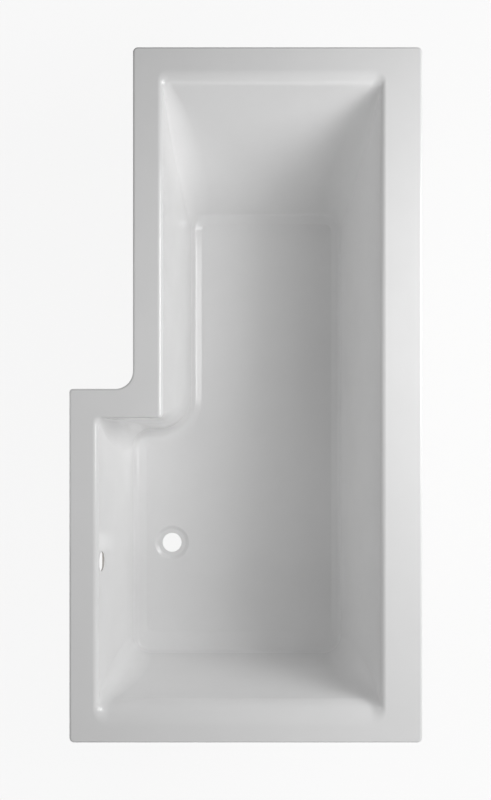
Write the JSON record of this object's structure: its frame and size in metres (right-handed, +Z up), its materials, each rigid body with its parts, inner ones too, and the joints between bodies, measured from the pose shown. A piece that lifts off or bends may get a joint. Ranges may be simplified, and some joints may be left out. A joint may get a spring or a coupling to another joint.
{
  "type": "l-shaped shower bath",
  "caption": "L-shaped acrylic shower bath with a wide showering section, a sloping backrest, a waste hole and an overflow hole, on rails with adjustable feet.",
  "frame": {"origin": "on the floor under the middle of the rim's outline", "axes": "+X towards the straight long side that stands against the wall, +Y towards the narrow head end, +Z up"},
  "size_m": [0.85, 1.675, 0.55],
  "materials": {
    "acrylic": "high gloss white",
    "glass_fibre": "rough sprayed glass fibre and resin",
    "chipboard": "raw chipboard",
    "timber": "planed softwood",
    "galvanised_steel": "galvanised",
    "zinc_plate": "bright zinc plated",
    "black_plastic": "moulded nylon"
  },
  "bodies": {
    "bath": {"bath_shell": "acrylic", "glass_fibre_backing": "glass_fibre", "board_laminate": "glass_fibre", "base_board": "chipboard", "rail_screws": "zinc_plate", "bracket_screws": "zinc_plate", "weld_nuts": "zinc_plate", "lock_nuts": "zinc_plate", "head_batten": "timber", "foot_batten": "timber", "wall_batten": "timber", "narrow_side_batten": "timber", "step_batten": "timber", "wide_side_batten": "timber", "head_rail": "galvanised_steel", "middle_rail": "galvanised_steel", "foot_rail": "galvanised_steel", "wall_bracket_head": "galvanised_steel", "wall_bracket_foot": "galvanised_steel"},
    "head_front_standing_foot": {"head_front_foot": "black_plastic"},
    "head_front_turning_rod": {"head_front_rod": "zinc_plate", "head_front_rod_nut": "zinc_plate"},
    "head_wall_standing_foot": {"head_wall_foot": "black_plastic"},
    "head_wall_turning_rod": {"head_wall_rod": "zinc_plate", "head_wall_rod_nut": "zinc_plate"},
    "middle_front_standing_foot": {"middle_front_foot": "black_plastic"},
    "middle_front_turning_rod": {"middle_front_rod": "zinc_plate", "middle_front_rod_nut": "zinc_plate"},
    "middle_wall_standing_foot": {"middle_wall_foot": "black_plastic"},
    "middle_wall_turning_rod": {"middle_wall_rod": "zinc_plate", "middle_wall_rod_nut": "zinc_plate"},
    "foot_front_standing_foot": {"foot_front_foot": "black_plastic"},
    "foot_front_turning_rod": {"foot_front_rod": "zinc_plate", "foot_front_rod_nut": "zinc_plate"},
    "foot_wall_standing_foot": {"foot_wall_foot": "black_plastic"},
    "foot_wall_turning_rod": {"foot_wall_rod": "zinc_plate", "foot_wall_rod_nut": "zinc_plate"}
  },
  "joints": [
    {"name": "head_front_height", "type": "slide", "parent": "bath", "child": "head_front_standing_foot", "axis": [0, 0, 1], "range_m": [-0.025, 0.025]},
    {"name": "head_front_screw", "type": "hinge", "parent": "head_front_standing_foot", "child": "head_front_turning_rod", "pos_m": [-0.188, 0.3325, 0.034], "axis": [0, 0, 1], "range_deg": [-5143, 5143]},
    {"name": "head_wall_height", "type": "slide", "parent": "bath", "child": "head_wall_standing_foot", "axis": [0, 0, 1], "range_m": [-0.025, 0.025]},
    {"name": "head_wall_screw", "type": "hinge", "parent": "head_wall_standing_foot", "child": "head_wall_turning_rod", "pos_m": [0.314, 0.3325, 0.034], "axis": [0, 0, 1], "range_deg": [-5143, 5143]},
    {"name": "middle_front_height", "type": "slide", "parent": "bath", "child": "middle_front_standing_foot", "axis": [0, 0, 1], "range_m": [-0.025, 0.025]},
    {"name": "middle_front_screw", "type": "hinge", "parent": "middle_front_standing_foot", "child": "middle_front_turning_rod", "pos_m": [-0.341, -0.2305, 0.034], "axis": [0, 0, 1], "range_deg": [-5143, 5143]},
    {"name": "middle_wall_height", "type": "slide", "parent": "bath", "child": "middle_wall_standing_foot", "axis": [0, 0, 1], "range_m": [-0.025, 0.025]},
    {"name": "middle_wall_screw", "type": "hinge", "parent": "middle_wall_standing_foot", "child": "middle_wall_turning_rod", "pos_m": [0.314, -0.2305, 0.034], "axis": [0, 0, 1], "range_deg": [-5143, 5143]},
    {"name": "foot_front_height", "type": "slide", "parent": "bath", "child": "foot_front_standing_foot", "axis": [0, 0, 1], "range_m": [-0.025, 0.025]},
    {"name": "foot_front_screw", "type": "hinge", "parent": "foot_front_standing_foot", "child": "foot_front_turning_rod", "pos_m": [-0.341, -0.5605, 0.034], "axis": [0, 0, 1], "range_deg": [-5143, 5143]},
    {"name": "foot_wall_height", "type": "slide", "parent": "bath", "child": "foot_wall_standing_foot", "axis": [0, 0, 1], "range_m": [-0.025, 0.025]},
    {"name": "foot_wall_screw", "type": "hinge", "parent": "foot_wall_standing_foot", "child": "foot_wall_turning_rod", "pos_m": [0.314, -0.5605, 0.034], "axis": [0, 0, 1], "range_deg": [-5143, 5143]}
  ],
  "couplings": [
    {"joint": "head_front_screw", "follows": "head_front_height", "rad_per_m": 3590.4},
    {"joint": "head_wall_screw", "follows": "head_wall_height", "rad_per_m": 3590.4},
    {"joint": "middle_front_screw", "follows": "middle_front_height", "rad_per_m": 3590.4},
    {"joint": "middle_wall_screw", "follows": "middle_wall_height", "rad_per_m": 3590.4},
    {"joint": "foot_front_screw", "follows": "foot_front_height", "rad_per_m": 3590.4},
    {"joint": "foot_wall_screw", "follows": "foot_wall_height", "rad_per_m": 3590.4}
  ]
}
